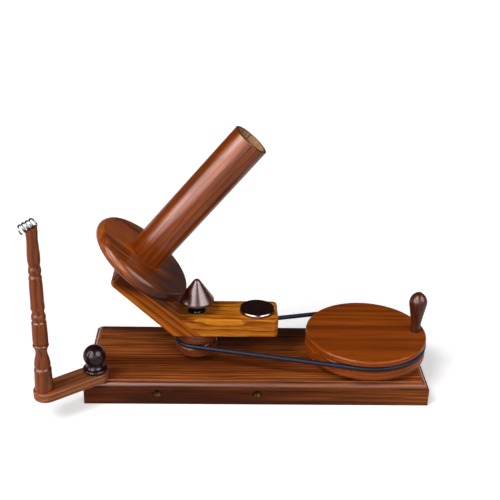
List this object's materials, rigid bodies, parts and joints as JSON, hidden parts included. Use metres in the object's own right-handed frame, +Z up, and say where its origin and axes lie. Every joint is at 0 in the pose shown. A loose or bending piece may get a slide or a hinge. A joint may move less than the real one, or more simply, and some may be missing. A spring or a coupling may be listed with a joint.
{
  "type": "yarn ball winder",
  "caption": "Hand-cranked wooden winder: a belt-driven flyer carries a tilted spool round a fixed cone, with a swinging yarn guide on a long moulded base.",
  "frame": {"origin": "centre of the base board's underside", "axes": "+X along the base from the spool to the drive wheel, +Y away from the user, +Z up"},
  "size_m": [0.4634, 0.1876, 0.3183],
  "materials": {
    "dark_rosewood": "satin lacquer",
    "red_rosewood": "gloss lacquer",
    "brown_rosewood": "satin lacquer",
    "honey_wood": "satin lacquer",
    "pulley_wood": "satin lacquer",
    "guide_rosewood": "satin lacquer",
    "handle_rosewood": "gloss lacquer",
    "polished_cone_wood": "high gloss lacquer",
    "ebony": "high gloss lacquer",
    "zinc_steel": "zinc plated",
    "bearing_steel": "ground",
    "polished_steel": "polished",
    "chrome": "polished",
    "brass": "machined",
    "belt_rubber": "smooth",
    "fibre": "pressed fibre",
    "black_lacquer": "gloss"
  },
  "bodies": {
    "base": {"base_board": "dark_rosewood", "clamp_inserts": "brass", "flyer_spindle": "zinc_steel", "wheel_axle": "zinc_steel", "bolt_head_washers": "zinc_steel", "base_nuts": "zinc_steel", "bearing_washers": "zinc_steel", "spindle_spacer": "zinc_steel", "axle_spacer": "zinc_steel", "spindle_inner_rings": "bearing_steel", "axle_inner_rings": "bearing_steel", "spindle_top_washer": "zinc_steel", "spindle_top_nut": "zinc_steel", "cone_jam_nut": "zinc_steel", "drive_cone": "polished_cone_wood", "cone_insert": "brass", "drive_belt": "belt_rubber", "knob_insert": "brass", "guide_washer": "fibre"},
    "flyer": {"flyer_pulley": "pulley_wood", "pulley_screws": "zinc_steel", "flyer_arm": "honey_wood", "inclined_arm": "honey_wood", "counterweight": "polished_steel", "counterweight_cap": "black_lacquer", "flyer_outer_rings": "bearing_steel", "spool_bolt": "zinc_steel", "spool_head_washer": "zinc_steel", "spool_nut": "zinc_steel", "spool_washers": "zinc_steel", "spool_spacer": "zinc_steel", "spool_inner_rings": "bearing_steel", "spool_lock_nut": "zinc_steel"},
    "spool": {"spool_disc": "red_rosewood", "spool_tube": "red_rosewood", "tube_plug": "red_rosewood", "spool_outer_rings": "bearing_steel"},
    "wheel": {"drive_wheel": "brown_rosewood", "wheel_outer_rings": "bearing_steel", "handle_pin": "zinc_steel", "handle_pin_nut": "zinc_steel", "handle_washer": "zinc_steel"},
    "handle": {"crank_handle": "handle_rosewood", "handle_bush": "brass"},
    "guide": {"guide_arm": "guide_rosewood", "guide_post": "guide_rosewood", "post_screw": "zinc_steel", "yarn_coil": "chrome"},
    "knob": {"guide_knob": "ebony", "knob_stud": "zinc_steel", "knob_washer": "zinc_steel"}
  },
  "joints": [
    {"name": "wheel_spin", "type": "hinge", "parent": "base", "child": "wheel", "pos_m": [0.1342, 0, 0.0494], "axis": [0, 0, 1], "continuous": true},
    {"name": "handle_spin", "type": "hinge", "parent": "wheel", "child": "handle", "pos_m": [0.195, 0, 0.0888], "axis": [0, 0, 1], "continuous": true},
    {"name": "flyer_spin", "type": "hinge", "parent": "base", "child": "flyer", "pos_m": [-0.07285, 0, 0.0768], "axis": [0, 0, 1], "continuous": true},
    {"name": "spool_spin", "type": "hinge", "parent": "flyer", "child": "spool", "pos_m": [-0.15199, 0, 0.1378], "axis": [0.6428, 0, 0.766], "continuous": true},
    {"name": "guide_swing", "type": "hinge", "parent": "base", "child": "guide", "pos_m": [-0.1892, -0.0612, 0.035], "axis": [0, 0, 1], "range_deg": [-95, 70]},
    {"name": "knob_turn", "type": "hinge", "parent": "base", "child": "knob", "pos_m": [-0.1892, -0.0612, 0.0604], "axis": [0, 0, 1], "range_deg": [0, 360]}
  ],
  "couplings": [
    {"joint": "flyer_spin", "follows": "wheel_spin", "ratio": 3},
    {"joint": "spool_spin", "follows": "wheel_spin", "ratio": 0.62763}
  ]
}
